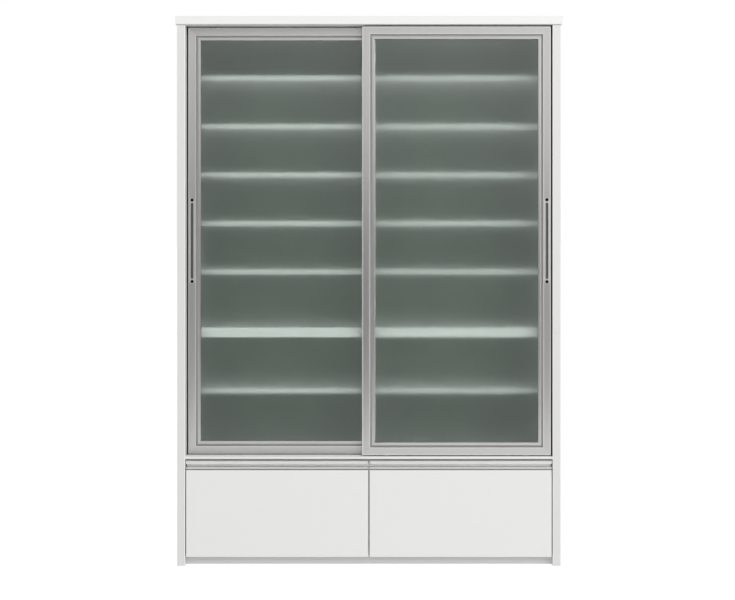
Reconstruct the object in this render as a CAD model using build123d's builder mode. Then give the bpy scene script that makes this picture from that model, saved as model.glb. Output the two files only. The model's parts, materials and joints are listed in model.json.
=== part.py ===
"""Glazed kitchen cabinet: two stacked units, a pair of by-pass sliding doors and two drawers.

Millimetres. The front faces -Y, +X is to the right, +Z is up, and the origin is on the floor
under the middle of the top board. Each piece is one node, written to parts/NAME.step.
"""

import os

from build123d import *

# ---------------------------------------------------------------------------------------
# Driving dimensions
# ---------------------------------------------------------------------------------------

# Overall
width = 1400  # top board, left to right
height = 1990  # floor to the top face
depth = 450  # top board, front to back
side_overhang = 5  # top board past each side panel
front_overhang = 5  # top board past the front edges of the side panels
unit_seam = 841  # height at which the upper unit stands on the lower one

# Boards
top_thickness = 30
side_thickness = 30
board_thickness = 18
back_thickness = 4
back_inset = 10  # rear edges of the boards to the back panels
back_groove_depth = 6
panel_edge_radius = 2  # upright front edges of the side panels
edge_chamfer = 1  # softened front edges of the shelves
top_edge_chamfer = 1.5

# Shelves and their pins
shelf_setback = 110  # front plane to a shelf's front edge
shelf_end_gap = 1
first_shelf = 194  # floor of the upper unit to the first shelf's underside
shelf_pitch = 180
top_space = 150  # least room kept over the highest shelf
lower_shelf = 223  # floor of the lower door bay to its shelf's underside
pin_radius = 2.5
pin_flats = 8  # the stems and their holes are eight-sided
pin_gap = 2  # between the stems that meet inside a divider
pin_row_inset = 40  # a shelf's front and rear edges to the pin rows
pin_head = 8  # the pin's head, along the shelf and out of the panel
pin_head_height = 6

# Door tracks
track_board_top = 388  # board that carries the bottom track
track_height = 8.5
track_groove_width = 7.5
track_groove_depth = 4
track_nose_radius = 2
top_track_margin = 6  # past the channels, front and back
top_track_flange = 2
channel_width = 12
channel_depth = 10
channel_wall = 2

# Doors
door_thickness = 22
door_setback = 8  # front plane to the front door's face
door_spacing = 6  # between the two doors
door_side_gap = 5
door_top_gap = 5
door_bottom_gap = 3.5
overlap_margin = 4  # the inner stiles pass each other by their width and this

# Door frame extrusion: u runs from the outer edge to the glass, v from the face to the back
frame_face = 29  # flat face with its bead
frame_edge_radius = 2  # outer front edge
bead_width = 3.5
bead_rise = 0.8
reveal_width = 7.5  # shadow groove between the face and the inner lip
reveal_depth = 8
lip_width = 9.5  # inner lip, from the shadow groove to the glass
lip_setback = 2
pocket_front = 6
pocket_wall = 2  # metal between the shadow groove and the glass pocket
rear_lip = 2
wall = 1.8
key_arm = 50  # corner key, along each of its two members

# Glazing
glass_thickness = 4
gasket_wall = 1  # gasket on each face of the glass
glass_edge_gap = 1
gasket_sightline = 0.5  # gasket kept behind the lip's edge

# Flush pulls in the outer stiles
pull_centre = 15  # outer edge of the door to the pull's middle line
pull_width = 20
pull_flange = 1.2
pull_end_margin = 2  # flange past the plugs
cup_side_wall = 2
cup_end_wall = 6.5
cup_floor = 1
slot_width = 10
slot_depth = 8
plug_spacing = 297
plug_radius = 6
plug_slot_gap = 4  # a plug's rim to the slot
plug_rise = 1
plug_taper = 30  # degrees, of the plug's rim

# Door rollers and guides
key_roller_gap = 11.2  # corner key to a roller housing
wheel_radius = 10
wheel_groove_gap = 0.75  # wheel to each side of its groove
axle_radius = 2
axle_play = 0.05
wheel_side_gap = 0.5
wheel_chamfer = 1
wheel_well_gap = 1.5
neck_end_wall = 13.5  # neck of the housing, past the wheel well
neck_side_wall = 2.5
housing_shoulder = 2  # housing past its neck, inside the rail
housing_roof = 8  # over the wheel well
guide_length = 30
guide_side_gap = 2  # guide to each wall of its channel
guide_top_gap = 4
guide_base_end = 7  # base past the guide at each end
guide_base_height = 8

# Jamb strips beside the doors
strip_setback = 2  # a closed door's face to its strip
strip_thickness = 2
pile_gap = 1.4  # pile to the edge of a closed door
pile_width = 6

# Drawers
drawer_thickness = 20
drawer_side_gap = 3.5
drawer_centre_gap = 5
drawer_bottom = 33
drawer_back_gap = 2
drawer_top_gap = 6.4  # handle to the top of the track board
front_edge_radius = 2.5  # sides and bottom of a drawer front
handle_joint_height = 5.5  # shadow joint between panel and handle
handle_joint_depth = 7
lower_lip = 5.6
finger_height = 11.4
handle_face = 11.6  # upper lip's face, with the top edge
finger_back_wall = 3.5
handle_wall = 3
tongue_width = 2
tongue_height = 6
tongue_play = 0.2
box_side = 12
box_bottom_gap = 10  # over the bottom panel
box_height = 200
box_past_slides = 20
box_floor_thickness = 5
box_floor_height = 8
box_floor_groove = 5

# Drawer slides
slide_thickness = 12.7
slide_height = 45
slide_centre = 82  # over the bottom panel
slide_step = 50  # slides come in whole steps of length
slide_rear_gap = 30  # least room behind them
slide_gauge = 1.2
slide_lip = 4
ball_gap_outer = 4.3
ball_gap_inner = 1.8

# Base
bottom_panel_height = 30
kick_setback = 28
kick_floor_gap = 1.5
glide_height = 1.5
glide_margin = 3  # glide to the faces of its side panel
glide_inset = 30

# ---------------------------------------------------------------------------------------
# Planes that several pieces share
# ---------------------------------------------------------------------------------------

back = depth / 2
front = -depth / 2 + front_overhang
body_half = width / 2 - side_overhang
inner_half = body_half - side_thickness
top_underside = height - top_thickness
divider_half = board_thickness / 2
back_face = back - back_inset - back_thickness  # inner face of the back panels
recess = front + drawer_thickness + drawer_back_gap  # front edges behind the drawers
pin_hole_depth = (board_thickness - pin_gap) / 2
glide_radius = side_thickness / 2 - glide_margin

upper_floor = unit_seam + board_thickness
lower_ceiling = unit_seam - board_thickness
drawer_ceiling = track_board_top - board_thickness
drawer_floor = bottom_panel_height + board_thickness

frame_width = frame_face + reveal_width + lip_width
pocket_width = glass_thickness + 2 * gasket_wall
pocket_depth = lip_width - pocket_wall

door_bottom = track_board_top + track_height + door_bottom_gap
door_top = top_underside - door_top_gap
door_height = door_top - door_bottom
door_middle = (door_bottom + door_top) / 2
door_width = inner_half - door_side_gap + (frame_width + overlap_margin) / 2
front_door_face = front + door_setback
rear_door_face = front_door_face + door_thickness + door_spacing
door_lines = [face + door_thickness / 2 for face in (front_door_face, rear_door_face)]
carcass_front = rear_door_face + door_thickness + door_spacing

channel_half = channel_width / 2 + channel_wall
track_y = (door_lines[0] - channel_half - top_track_margin, door_lines[1] + channel_half + top_track_margin)
pile_height = door_side_gap - strip_thickness - pile_gap

shelf_front = front + shelf_setback
pin_rows = (shelf_front + pin_row_inset, back_face - shelf_end_gap - pin_row_inset)
shelf_room = top_underside - top_space - upper_floor - first_shelf
shelf_count = int(shelf_room / shelf_pitch) + 1
shelf_levels = [upper_floor + first_shelf + n * shelf_pitch for n in range(shelf_count)]
lower_level = track_board_top + lower_shelf

slide_length = slide_step * int((back_face - recess - slide_rear_gap) / slide_step)
slide_height_centre = drawer_floor + slide_centre

wheel_width = track_groove_width - 2 * wheel_groove_gap
axle_height = track_board_top + track_height - track_groove_depth + wheel_radius
well = wheel_radius + wheel_well_gap
well_width = wheel_width + 2 * wheel_side_gap
neck_length = 2 * (well + neck_end_wall)
neck_width = well_width + 2 * neck_side_wall
housing_length = neck_length + 2 * housing_shoulder
housing_width = neck_width + 2 * housing_shoulder
housing_top = axle_height + well + housing_roof
roller_inset = wall + key_arm + key_roller_gap + housing_length / 2
guide_width = channel_width - 2 * guide_side_gap
guide_top = top_underside + channel_depth - guide_top_gap

slot_length = plug_spacing - 2 * (plug_radius + plug_slot_gap)
cup_length = slot_length + 2 * cup_end_wall
cup_width = slot_width + 2 * cup_side_wall
pull_length = plug_spacing + 2 * (plug_radius + pull_end_margin)

handle_height = handle_joint_height + lower_lip + finger_height + handle_face
panel_top = track_board_top - drawer_top_gap - handle_height

os.makedirs("parts", exist_ok=True)


def save(piece, name):
    """Label a finished piece and write its STEP file."""
    piece.part.label = name
    export_step(piece.part, f"parts/{name}.step")


def block(x, y, z, mode=Mode.ADD):
    """A box in the part being built, between the pairs of planes x, y and z."""
    with Locations((min(x), min(y), min(z))):
        Box(abs(x[1] - x[0]), abs(y[1] - y[0]), abs(z[1] - z[0]), align=(Align.MIN,) * 3, mode=mode)


def back_groove_y():
    """Where every board holds the back panels."""
    return (back_face, back_face + back_thickness)


def soften_front(part, size, y):
    """Break the edges that lie in the front plane y."""
    chamfer(part.edges().filter_by_position(Axis.Y, y - 0.01, y + 0.01), size)


# ---------------------------------------------------------------------------------------
# Upright boards
# ---------------------------------------------------------------------------------------


def pin_places(levels, away=1):
    """Depth and height of each shelf pin, on a face that looks along away."""
    return [(away * y, level - pin_radius) for level in levels for y in pin_rows]


def pin_outline():
    """The outline of a pin's stem, in the sketch being drawn, with flats above and below."""
    RegularPolygon(pin_radius, pin_flats, major_radius=False)


def side_panel(name, side, bottom, top, levels):
    """A side panel; side is -1 on the left and +1 on the right."""
    inner, outer = side * inner_half, side * body_half
    with BuildPart() as panel:
        block((inner, outer), (front, back), (bottom, top))
        fillet(panel.edges().filter_by(Axis.Z).group_by(Axis.Y)[0], panel_edge_radius)
        block((inner, inner + side * back_groove_depth), back_groove_y(), (bottom, top), Mode.SUBTRACT)
        with BuildSketch(Plane(origin=(inner, 0, 0), x_dir=(0, -side, 0), z_dir=(-side, 0, 0))):
            with Locations(*pin_places(levels, -side)):
                pin_outline()
        extrude(amount=-pin_hole_depth, mode=Mode.SUBTRACT)
    save(panel, name)


def divider_board(bottom, top, edge, levels=()):
    """A middle divider in the part being built, grooved for a back panel on both faces."""
    block((-divider_half, divider_half), (edge, back), (bottom, top))
    for side in (-1, 1):
        groove = (side * divider_half, side * (divider_half - back_groove_depth))
        block(groove, back_groove_y(), (bottom, top), Mode.SUBTRACT)
    if levels:
        with BuildSketch(Plane.YZ.offset(-divider_half)) as holes:
            with Locations(*pin_places(levels)):
                pin_outline()
        extrude(holes.sketch, amount=board_thickness, mode=Mode.SUBTRACT)


for side, word in ((-1, "left"), (1, "right")):
    side_panel(f"upper_{word}_side", side, unit_seam, top_underside, shelf_levels)
    side_panel(f"lower_{word}_side", side, glide_height, unit_seam, [lower_level])

with BuildPart() as upper_divider:
    divider_board(upper_floor, top_underside, carcass_front, shelf_levels)
save(upper_divider, "upper_divider")

with BuildPart() as lower_dividers:
    divider_board(track_board_top, lower_ceiling, carcass_front, [lower_level])
    divider_board(drawer_floor, drawer_ceiling, recess)
save(lower_dividers, "lower_dividers")

# ---------------------------------------------------------------------------------------
# Level boards
# ---------------------------------------------------------------------------------------

inner_span = (-inner_half, inner_half)

with BuildPart() as top_board:
    block((-width / 2, width / 2), (-depth / 2, back), (top_underside, height))
    chamfer(top_board.edges().filter_by(Axis.Z).group_by(Axis.Y)[0], top_edge_chamfer)
    soften_front(top_board, top_edge_chamfer / 2, -depth / 2)
    groove_half = inner_half + back_groove_depth
    groove_top = top_underside + back_groove_depth
    block((-groove_half, groove_half), back_groove_y(), (top_underside, groove_top), Mode.SUBTRACT)
    block(inner_span, track_y, (top_underside, top_underside + top_track_flange), Mode.SUBTRACT)
    for line in door_lines:
        channel_y = (line - channel_half, line + channel_half)
        channel_top = top_underside + channel_depth + channel_wall
        block(inner_span, channel_y, (top_underside, channel_top), Mode.SUBTRACT)
save(top_board, "top_board")

with BuildPart() as upper_bottom_panel:
    block(inner_span, (carcass_front, back), (unit_seam, upper_floor))
    block(inner_span, back_groove_y(), (upper_floor - back_groove_depth, upper_floor), Mode.SUBTRACT)
save(upper_bottom_panel, "upper_bottom_panel")

with BuildPart() as lower_top_panel:
    block(inner_span, (carcass_front, back), (lower_ceiling, unit_seam))
    block(inner_span, back_groove_y(), (lower_ceiling, lower_ceiling + back_groove_depth), Mode.SUBTRACT)
save(lower_top_panel, "lower_top_panel")

with BuildPart() as track_board:
    block(inner_span, (recess, back_face), (drawer_ceiling, track_board_top))
save(track_board, "track_board")

with BuildPart() as bottom_panel:
    block(inner_span, (recess, back), (bottom_panel_height, drawer_floor))
    block(inner_span, back_groove_y(), (drawer_floor - back_groove_depth, drawer_floor), Mode.SUBTRACT)
save(bottom_panel, "bottom_panel")

with BuildPart() as kick_board:
    kick_front = front + kick_setback
    block(inner_span, (kick_front, kick_front + board_thickness), (kick_floor_gap, bottom_panel_height))
save(kick_board, "kick_board")


def back_panels(name, floor, ceiling):
    """A back panel for each bay, in the grooves of the boards around it."""
    with BuildPart() as panels:
        for side in (-1, 1):
            x = (side * (divider_half - back_groove_depth), side * (inner_half + back_groove_depth))
            block(x, back_groove_y(), (floor - back_groove_depth, ceiling + back_groove_depth))
    save(panels, name)


back_panels("upper_back_panels", upper_floor, top_underside)
back_panels("lower_back_panels", drawer_floor, lower_ceiling)


def shelves(name, levels):
    """The shelves of both bays at the given undersides."""
    with BuildPart() as boards:
        for level in levels:
            for side in (-1, 1):
                x = (side * (divider_half + shelf_end_gap), side * (inner_half - shelf_end_gap))
                block(x, (shelf_front, back_face - shelf_end_gap), (level, level + board_thickness))
        soften_front(boards, edge_chamfer, shelf_front)
    save(boards, name)


shelves("upper_shelves", shelf_levels)
shelves("lower_shelves", [lower_level])

with BuildPart() as shelf_pins:
    for side in (-1, 1):
        for wall_x, away in ((side * divider_half, side), (side * inner_half, -side)):
            pins = pin_places(shelf_levels + [lower_level], away)
            with BuildSketch(Plane(origin=(wall_x, 0, 0), x_dir=(0, away, 0), z_dir=(away, 0, 0))) as stems:
                with Locations(*pins):
                    pin_outline()
            extrude(stems.sketch, amount=-pin_hole_depth)
            for along, z in pins:
                head_y = (away * along - pin_head / 2, away * along + pin_head / 2)
                head_top = z + pin_radius
                block((wall_x, wall_x + away * pin_head), head_y, (head_top - pin_head_height, head_top))
save(shelf_pins, "shelf_pins")

with BuildPart() as floor_glides:
    for side in (-1, 1):
        for y in (front + glide_inset, back - glide_inset):
            with Locations((side * (inner_half + side_thickness / 2), y, 0)):
                Cylinder(glide_radius, glide_height, align=(Align.CENTER, Align.CENTER, Align.MIN))
save(floor_glides, "floor_glides")

# ---------------------------------------------------------------------------------------
# Door tracks and jamb strips
# ---------------------------------------------------------------------------------------

with BuildPart() as top_track:
    with BuildSketch(Plane.YZ.offset(-inner_half)):
        with Locations((sum(track_y) / 2, top_underside)):
            Rectangle(track_y[1] - track_y[0], top_track_flange, align=(Align.CENTER, Align.MIN))
        with Locations(*[(line, top_underside) for line in door_lines]):
            Rectangle(2 * channel_half, channel_depth + channel_wall,
                      align=(Align.CENTER, Align.MIN))
            Rectangle(channel_width, channel_depth, align=(Align.CENTER, Align.MIN), mode=Mode.SUBTRACT)
    extrude(amount=2 * inner_half)
save(top_track, "top_track")

with BuildPart() as bottom_track:
    with BuildSketch(Plane.YZ.offset(-inner_half)) as track_section:
        with Locations((front, track_board_top)):
            Rectangle(carcass_front - front, track_height, align=(Align.MIN, Align.MIN))
        fillet(track_section.vertices().group_by(Axis.Y)[-1], track_nose_radius)
        with Locations(*[(line, track_board_top + track_height) for line in door_lines]):
            Rectangle(track_groove_width, track_groove_depth, align=(Align.CENTER, Align.MAX),
                      mode=Mode.SUBTRACT)
    extrude(amount=2 * inner_half)
save(bottom_track, "bottom_track")

with BuildPart() as jamb_strips:
    for side, face in ((1, front_door_face), (-1, rear_door_face)):
        strip_z = (track_board_top + track_height, top_underside)
        strip_y = (face + strip_setback, face + door_thickness)
        strip_face = side * (inner_half - strip_thickness)
        block((side * inner_half, strip_face), strip_y, strip_z)
        line = face + door_thickness / 2
        pile = (line - pile_width / 2, line + pile_width / 2)
        block((strip_face, strip_face - side * pile_height), pile, strip_z)
save(jamb_strips, "jamb_strips")

# ---------------------------------------------------------------------------------------
# Doors
# ---------------------------------------------------------------------------------------


def frame_member(section, length, cuts=None):
    """One mitred length of the frame extrusion.

    The section plane has x from the outer edge towards the glass, y from the face to the back
    and its origin on the outer front edge, halfway along. The far ends are cut at 45 degrees.
    """
    pocket_back = pocket_front + pocket_width
    pocket_floor = frame_width - pocket_depth
    body_edge = frame_face + reveal_width
    with BuildPart() as member:
        with BuildSketch(section.offset(-length / 2)):
            with BuildLine():
                Polyline((frame_face - bead_width, 0), (0, 0), (0, door_thickness),
                         (body_edge, door_thickness), (body_edge, pocket_back + rear_lip),
                         (frame_width, pocket_back + rear_lip), (frame_width, pocket_back),
                         (pocket_floor, pocket_back), (pocket_floor, pocket_front),
                         (frame_width, pocket_front), (frame_width, lip_setback),
                         (body_edge, lip_setback), (body_edge, reveal_depth),
                         (frame_face, reveal_depth), (frame_face, 0))
                ThreePointArc((frame_face, 0), (frame_face - bead_width / 2, -bead_rise),
                              (frame_face - bead_width, 0))
            face_section = make_face()
            fillet(face_section.vertices().sort_by_distance((0, 0))[0], frame_edge_radius)
            chamber = (frame_face - 2 * wall, door_thickness - 2 * wall)
            with Locations((wall, wall)):
                Rectangle(*chamber, align=(Align.MIN, Align.MIN), mode=Mode.SUBTRACT)
            with Locations((frame_face, reveal_depth + wall)):
                Rectangle(reveal_width - wall, door_thickness - reveal_depth - 2 * wall,
                          align=(Align.MIN, Align.MIN), mode=Mode.SUBTRACT)
        extrude(amount=length)
        for end in (-1, 1):
            tip = section.origin + section.z_dir * (end * length / 2)
            split(bisect_by=Plane(origin=tip, z_dir=section.x_dir + section.z_dir * end), keep=Keep.BOTTOM)
        if cuts:
            cuts()
    return member


def door(name, outward, face):
    """A framed glass door. outward is the side (-1 or +1) of its pull and face the y of its front."""
    edge = outward * (inner_half - door_side_gap)
    inner_edge = edge - outward * door_width
    left, right = min(edge, inner_edge), max(edge, inner_edge)
    centre = (left + right) / 2
    line = face + door_thickness / 2
    pull_x = edge - outward * pull_centre
    roller_places = (left + roller_inset, right - roller_inset)
    pull_plane = Plane(origin=(pull_x, face, door_middle), x_dir=(0, 0, 1), z_dir=(0, -1, 0))

    def member_plane(origin, to_glass):
        return Plane(origin=origin, x_dir=to_glass, z_dir=Vector(*to_glass).cross(Vector(0, 1, 0)))

    def cut_pull():
        with BuildSketch(pull_plane) as mouth:
            SlotOverall(cup_length, cup_width)
        extrude(mouth.sketch, amount=-wall, mode=Mode.SUBTRACT)

    def cut_rollers():
        for x in roller_places:
            neck = (x - neck_length / 2, x + neck_length / 2)
            depth_span = (line - neck_width / 2, line + neck_width / 2)
            block(neck, depth_span, (door_bottom, door_bottom + wall), Mode.SUBTRACT)

    def cut_guides():
        for x in roller_places:
            tongue = (x - guide_length / 2, x + guide_length / 2)
            depth_span = (line - guide_width / 2, line + guide_width / 2)
            block(tongue, depth_span, (door_top - wall, door_top), Mode.SUBTRACT)

    members = (
        ("outer_stile", (edge, face, door_middle), (-outward, 0, 0), door_height, cut_pull),
        ("inner_stile", (inner_edge, face, door_middle), (outward, 0, 0), door_height, None),
        ("bottom_rail", (centre, face, door_bottom), (0, 0, 1), door_width, cut_rollers),
        ("top_rail", (centre, face, door_top), (0, 0, -1), door_width, cut_guides),
    )
    for word, origin, to_glass, length, cuts in members:
        save(frame_member(member_plane(origin, to_glass), length, cuts), f"{name}_{word}")

    with BuildPart() as corner_keys:
        arm = frame_face - 2 * wall
        key_y = (face + wall, face + door_thickness - wall)
        for x, inward in ((left + wall, 1), (right - wall, -1)):
            for z, upward in ((door_bottom + wall, 1), (door_top - wall, -1)):
                block((x, x + inward * arm), key_y, (z, z + upward * key_arm))
                block((x, x + inward * key_arm), key_y, (z, z + upward * arm))
    save(corner_keys, f"{name}_corner_keys")

    glass_inset = frame_width - pocket_depth + glass_edge_gap
    glass_front = face + pocket_front + (pocket_width - glass_thickness) / 2
    pane_x = (left + glass_inset, right - glass_inset)
    pane_y = (glass_front, glass_front + glass_thickness)
    pane_z = (door_bottom + glass_inset, door_top - glass_inset)
    with BuildPart() as glass:
        block(pane_x, pane_y, pane_z)
    save(glass, f"{name}_glass")

    with BuildPart() as gasket:
        outer = frame_width - pocket_depth
        gasket_y = (face + pocket_front, face + pocket_front + pocket_width)
        block((left + outer, right - outer), gasket_y, (door_bottom + outer, door_top - outer))
        inner = frame_width - gasket_sightline
        daylight = ((left + inner, right - inner), gasket_y, (door_bottom + inner, door_top - inner))
        block(*daylight, Mode.SUBTRACT)
        block(pane_x, pane_y, pane_z, Mode.SUBTRACT)
    save(gasket, f"{name}_gasket")

    with BuildPart() as pull:
        with BuildSketch(pull_plane):
            SlotOverall(pull_length, pull_width)
        extrude(amount=pull_flange)
        chamfer(pull.faces().sort_by(Axis.Y)[0].edges(), pull_flange / 2)
        with BuildSketch(pull_plane):
            SlotOverall(cup_length, cup_width)
        extrude(amount=-(slot_depth - pull_flange + cup_floor))
        with BuildSketch(pull_plane.offset(pull_flange)):
            SlotOverall(slot_length, slot_width)
        extrude(amount=-slot_depth, mode=Mode.SUBTRACT)
    save(pull, f"{name}_pull")

    with BuildPart() as plugs:
        with BuildSketch(pull_plane.offset(pull_flange)):
            with Locations((-plug_spacing / 2, 0), (plug_spacing / 2, 0)):
                Circle(plug_radius)
        extrude(amount=plug_rise, taper=plug_taper)
    save(plugs, f"{name}_pull_plugs")

    with BuildPart() as top_guides:
        for x in roller_places:
            tongue = (x - guide_length / 2, x + guide_length / 2)
            base = (tongue[0] - guide_base_end, tongue[1] + guide_base_end)
            base_y = (face + wall, face + door_thickness - wall)
            tongue_y = (line - guide_width / 2, line + guide_width / 2)
            block(tongue, tongue_y, (door_top - wall, guide_top))
            block(base, base_y, (door_top - wall - guide_base_height, door_top - wall))
    save(top_guides, f"{name}_top_guides")

    with BuildPart() as housings:
        well_y = (line - well_width / 2, line + well_width / 2)
        body_y = (line - housing_width / 2, line + housing_width / 2)
        neck_y = (line - neck_width / 2, line + neck_width / 2)
        for x in roller_places:
            block((x - housing_length / 2, x + housing_length / 2), body_y,
                  (door_bottom + wall, housing_top))
            block((x - neck_length / 2, x + neck_length / 2), neck_y, (door_bottom, door_bottom + wall))
            block((x - well, x + well), well_y, (door_bottom, axle_height + well), Mode.SUBTRACT)
    save(housings, f"{name}_roller_housings")

    with BuildPart() as axles:
        with BuildSketch(Plane.XZ.offset(-line - well_width / 2)):
            with Locations(*[(x, axle_height) for x in roller_places]):
                Circle(axle_radius)
        extrude(amount=well_width)
    save(axles, f"{name}_roller_axles")

    for x, word in zip(roller_places, ("left", "right")):
        with BuildPart() as wheel:
            with BuildSketch(Plane.XZ.offset(-line - wheel_width / 2)):
                with Locations((x, axle_height)):
                    Circle(wheel_radius)
            extrude(amount=wheel_width)
            chamfer(wheel.edges().filter_by(GeomType.CIRCLE), wheel_chamfer)
            with BuildSketch(Plane.XZ.offset(-line - wheel_width / 2)):
                with Locations((x, axle_height)):
                    Circle(axle_radius + axle_play)
            extrude(amount=wheel_width, mode=Mode.SUBTRACT)
        save(wheel, f"{name}_{word}_wheel")


door("front_door", 1, front_door_face)
door("rear_door", -1, rear_door_face)

# ---------------------------------------------------------------------------------------
# Drawers
# ---------------------------------------------------------------------------------------

slide_y = (recess, recess + slide_length)


def slide_members(name, mounts, shape):
    """A pair of slide members; mounts holds each carcass face and the side it looks to."""
    with BuildPart() as pair:
        for wall_x, away in mounts:
            for p, q, mode in shape:
                x = (wall_x + away * p[0], wall_x + away * p[1])
                z = (slide_height_centre + q[0], slide_height_centre + q[1])
                block(x, slide_y, z, mode)
    save(pair, name)


outer_half = slide_height / 2
middle_half = outer_half - slide_gauge - ball_gap_outer
inner_member_half = middle_half - slide_gauge - ball_gap_inner
outer_reach = slide_thickness * 3 / 4
middle_web = 2 * slide_gauge
inner_web = slide_thickness - slide_gauge


def channel(p, half, web_at_start):
    """A channel section: an outer box less its inside, open towards the drawer or the carcass."""
    hollow = (p[0] + slide_gauge, p[1]) if web_at_start else (p[0], p[1] - slide_gauge)
    inside = half - slide_gauge
    return [(p, (-half, half), Mode.ADD), (hollow, (-inside, inside), Mode.SUBTRACT)]


outer_shape = channel((0, outer_reach), outer_half, True)
for sign in (-1, 1):
    lip_z = (sign * (outer_half - slide_lip), sign * outer_half)
    outer_shape.append(((outer_reach - slide_gauge, outer_reach), lip_z, Mode.ADD))
middle_shape = channel((middle_web, outer_reach), middle_half, True)
inner_shape = channel((middle_web + 2 * slide_gauge, slide_thickness), inner_member_half, False)

all_mounts = []
for side, word in ((-1, "left"), (1, "right")):
    name = f"{word}_drawer"
    near = side * drawer_centre_gap / 2
    far = side * (inner_half - drawer_side_gap)
    mounts = ((side * divider_half, side), (side * inner_half, -side))
    all_mounts.extend(mounts)
    tongue_y = front + drawer_thickness / 2

    with BuildPart() as panel:
        block((near, far), (front, front + drawer_thickness), (drawer_bottom, panel_top))
        front_edges = panel.edges().group_by(Axis.Y)[0]
        fillet(front_edges - front_edges.group_by(Axis.Z)[-1], front_edge_radius)
        groove = tongue_width / 2 + tongue_play
        groove_z = (panel_top - tongue_height - tongue_play, panel_top)
        block((near, far), (tongue_y - groove, tongue_y + groove), groove_z, Mode.SUBTRACT)
    save(panel, f"{name}_front")

    with BuildPart() as handle:
        lip_bottom = panel_top + handle_joint_height
        finger_bottom = lip_bottom + lower_lip
        finger_top = finger_bottom + finger_height
        handle_top = panel_top + handle_height
        finger_back = front + drawer_thickness - finger_back_wall
        with BuildSketch(Plane.YZ.offset(min(near, far))) as handle_section:
            with BuildLine():
                Polyline((front, finger_top), (front, handle_top), (front + drawer_thickness, handle_top),
                         (front + drawer_thickness, panel_top),
                         (tongue_y + tongue_width / 2, panel_top),
                         (tongue_y + tongue_width / 2, panel_top - tongue_height),
                         (tongue_y - tongue_width / 2, panel_top - tongue_height),
                         (tongue_y - tongue_width / 2, panel_top),
                         (front + handle_joint_depth, panel_top),
                         (front + handle_joint_depth, lip_bottom), (front, lip_bottom),
                         (front, finger_bottom), (finger_back, finger_bottom),
                         (finger_back, handle_top - handle_wall),
                         (front + handle_wall, handle_top - handle_wall),
                         (front + handle_wall, finger_top), close=True)
            make_face()
            lips = handle_section.vertices().group_by(Axis.X)[0]
            chamfer(lips, handle_wall / 4)
        extrude(amount=abs(far - near))
    save(handle, f"{name}_handle")

    with BuildPart() as box:
        box_x = (side * (divider_half + slide_thickness), side * (inner_half - slide_thickness))
        box_y = (front + drawer_thickness, recess + slide_length + box_past_slides)
        box_z = (drawer_floor + box_bottom_gap, drawer_floor + box_bottom_gap + box_height)
        inside_x = (box_x[0] + side * box_side, box_x[1] - side * box_side)
        inside_y = (box_y[0], box_y[1] - box_side)
        floor_z = (box_z[0] + box_floor_height, box_z[0] + box_floor_height + box_floor_thickness)
        floor_x = (inside_x[0] - side * box_floor_groove, inside_x[1] + side * box_floor_groove)
        floor_y = (box_y[0], inside_y[1] + box_floor_groove)
        block(box_x, box_y, box_z)
        block(inside_x, inside_y, box_z, Mode.SUBTRACT)
        block(floor_x, floor_y, floor_z, Mode.SUBTRACT)
    with BuildPart() as box_floor:
        block(floor_x, floor_y, floor_z)
    box.part = Compound(children=[*box.part.solids(), *box_floor.part.solids()])
    save(box, f"{name}_box")

    slide_members(f"{name}_inner_members", mounts, inner_shape)
    slide_members(f"{name}_middle_members", mounts, middle_shape)

slide_members("slide_outer_members", all_mounts, outer_shape)
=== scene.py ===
# %% [markdown]
# # A kitchen cabinet with sliding glass doors
#
# The cabinet is two stacked units of white laminate board. Two framed glass doors slide past
# each other in front of the shelves of both units, and two wide drawers run on slides below.
# The boards, tracks, rollers and slides arrive ready made in the frame, at their real size.
# This lesson gives them their finishes and models the pieces whose edges and sections catch
# the light: panels, door frames, glass, pulls, drawer fronts and handles.

import json
import math

import bpy
from mathutils import Matrix, Vector

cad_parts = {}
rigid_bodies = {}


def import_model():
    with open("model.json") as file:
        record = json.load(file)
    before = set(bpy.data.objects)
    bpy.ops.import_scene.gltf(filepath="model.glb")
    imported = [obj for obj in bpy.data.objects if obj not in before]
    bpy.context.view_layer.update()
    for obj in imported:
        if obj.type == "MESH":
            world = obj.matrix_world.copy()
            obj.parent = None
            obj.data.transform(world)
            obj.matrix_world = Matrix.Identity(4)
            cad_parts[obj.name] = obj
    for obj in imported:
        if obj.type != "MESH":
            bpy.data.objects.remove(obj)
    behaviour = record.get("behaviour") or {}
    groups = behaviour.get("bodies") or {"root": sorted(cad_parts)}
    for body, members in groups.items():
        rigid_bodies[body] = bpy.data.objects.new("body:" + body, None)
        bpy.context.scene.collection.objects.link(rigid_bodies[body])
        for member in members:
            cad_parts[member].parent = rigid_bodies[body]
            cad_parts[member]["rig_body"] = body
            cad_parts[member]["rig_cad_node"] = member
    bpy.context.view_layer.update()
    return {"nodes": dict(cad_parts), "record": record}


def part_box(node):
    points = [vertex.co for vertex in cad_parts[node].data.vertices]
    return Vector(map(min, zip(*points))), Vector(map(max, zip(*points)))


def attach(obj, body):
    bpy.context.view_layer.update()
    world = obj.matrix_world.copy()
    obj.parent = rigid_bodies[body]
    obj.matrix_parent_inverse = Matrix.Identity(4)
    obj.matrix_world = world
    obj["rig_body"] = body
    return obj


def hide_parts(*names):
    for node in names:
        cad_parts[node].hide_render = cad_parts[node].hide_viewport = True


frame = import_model()
for plain in list(bpy.data.materials):  # the nodes' plain colours, which the finishes replace
    bpy.data.materials.remove(plain)
MM = 0.001

# %% [markdown]
# ## Working by hand, in code
#
# Each piece starts as a block at its real size and place. It is then shaped with the same few
# steps that a person takes in edit mode: cut a line round it, pick some faces, push them in or
# out, pick some edges and round them. A helper for each step keeps the later cells short. All
# of them work on the active object, so everything else is deselected first.


# %% Blocks
def only(piece):
    """Make piece the one selected, active object."""
    bpy.ops.object.select_all(action="DESELECT")
    piece.select_set(True)
    bpy.context.view_layer.objects.active = piece


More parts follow.
